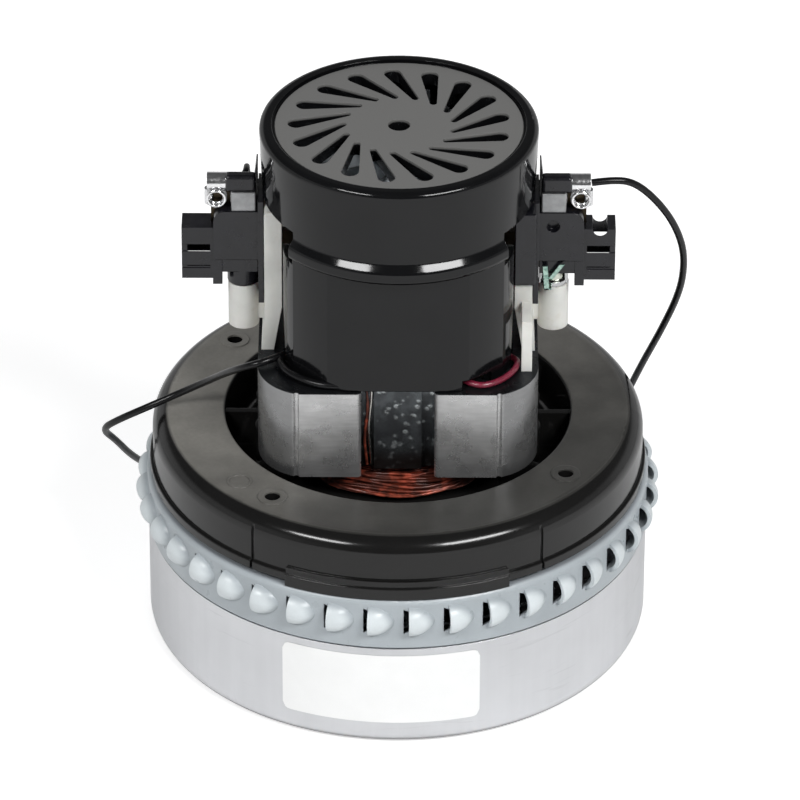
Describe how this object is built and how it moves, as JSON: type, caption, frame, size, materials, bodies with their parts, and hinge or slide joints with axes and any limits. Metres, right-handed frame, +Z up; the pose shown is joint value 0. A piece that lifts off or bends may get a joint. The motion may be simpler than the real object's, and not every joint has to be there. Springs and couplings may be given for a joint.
{
  "type": "vacuum motor",
  "caption": "Two-stage bypass vacuum motor: round fan can with a ring of louvres, lamination stack, brush gear and a cowl with swirl slots.",
  "frame": {"origin": "middle of the fan can's flat underside, on the shaft's axis", "axes": "+Z up the shaft towards the cowl, X through the two brushes, -Y the front"},
  "size_m": [0.1694, 0.1913, 0.1633],
  "materials": {
    "can_steel": "satin",
    "louvre_metal": "satin",
    "fan_metal": "satin",
    "bracket_plastic": "satin",
    "lamination": "satin",
    "liner_sheet": "matte",
    "enamelled_wire": "gloss",
    "copper": "satin",
    "brown_moulding": "satin",
    "machined_steel": "satin",
    "bearing_steel": "polished",
    "cover_plastic": "gloss",
    "white_moulding": "satin",
    "holder_plastic": "gloss",
    "brass": "satin",
    "tinned": "polished",
    "carbon": "matte",
    "wire_cover": "satin",
    "sleeve": "matte"
  },
  "bodies": {
    "frame": {"fan_shell": "can_steel", "louvre_shell": "louvre_metal", "stage_plate": "fan_metal", "end_bracket": "bracket_plastic", "stator_core": "lamination", "slot_liners": "liner_sheet", "field_coil_front": "enamelled_wire", "field_coil_rear": "enamelled_wire", "brush_spring_right": "machined_steel", "brush_spring_left": "machined_steel", "through_bolts": "machined_steel", "earth_screw": "machined_steel", "earth_tag": "machined_steel", "lower_bearing_outer": "bearing_steel", "upper_bearing_outer": "bearing_steel", "motor_cover": "cover_plastic", "brush_bracket": "white_moulding", "brush_holder_right": "holder_plastic", "brush_holder_left": "holder_plastic", "brush_tube_right": "brass", "brush_tube_left": "brass", "brush_terminal_right": "tinned", "brush_terminal_left": "tinned", "lead_tips": "tinned", "field_jumper": "wire_cover", "lead_right": "wire_cover", "lead_right_coil": "wire_cover", "lead_left": "wire_cover", "lead_left_coil": "wire_cover", "coil_link": "sleeve"},
    "rotor": {"shaft": "machined_steel", "armature_core": "lamination", "armature_winding": "enamelled_wire", "commutator_bars": "copper", "commutator_hub": "brown_moulding", "lower_bearing_inner": "bearing_steel", "upper_bearing_inner": "bearing_steel", "impeller_1": "fan_metal", "impeller_2": "fan_metal", "fan_spacer_1": "machined_steel", "fan_spacer_2": "machined_steel", "shaft_washers": "machined_steel", "lock_nut": "machined_steel", "cooling_fan": "fan_metal", "fan_clip": "machined_steel"},
    "lower_balls": {"lower_bearing_balls": "bearing_steel"},
    "upper_balls": {"upper_bearing_balls": "bearing_steel"},
    "brush_right": {"brush_right": "carbon"},
    "brush_left": {"brush_left": "carbon"}
  },
  "joints": [
    {"name": "rotor_spin", "type": "hinge", "parent": "frame", "child": "rotor", "pos_m": [0, 0, 0], "axis": [0, 0, 1], "continuous": true},
    {"name": "lower_balls_orbit", "type": "hinge", "parent": "frame", "child": "lower_balls", "pos_m": [0, 0, 0.0527], "axis": [0, 0, 1], "continuous": true},
    {"name": "upper_balls_orbit", "type": "hinge", "parent": "frame", "child": "upper_balls", "pos_m": [0, 0, 0.1395], "axis": [0, 0, 1], "continuous": true},
    {"name": "brush_slide_right", "type": "slide", "parent": "frame", "child": "brush_right", "axis": [1, 0, 0], "range_m": [0, 0.008], "stiffness_N_per_m": 60, "springref_m": -0.03, "deforming": ["brush_spring_right"]},
    {"name": "brush_slide_left", "type": "slide", "parent": "frame", "child": "brush_left", "axis": [-1, 0, 0], "range_m": [0, 0.008], "stiffness_N_per_m": 60, "springref_m": -0.03, "deforming": ["brush_spring_left"]}
  ],
  "couplings": [
    {"joint": "lower_balls_orbit", "follows": "rotor_spin", "ratio": 0.366},
    {"joint": "upper_balls_orbit", "follows": "rotor_spin", "ratio": 0.3747}
  ]
}
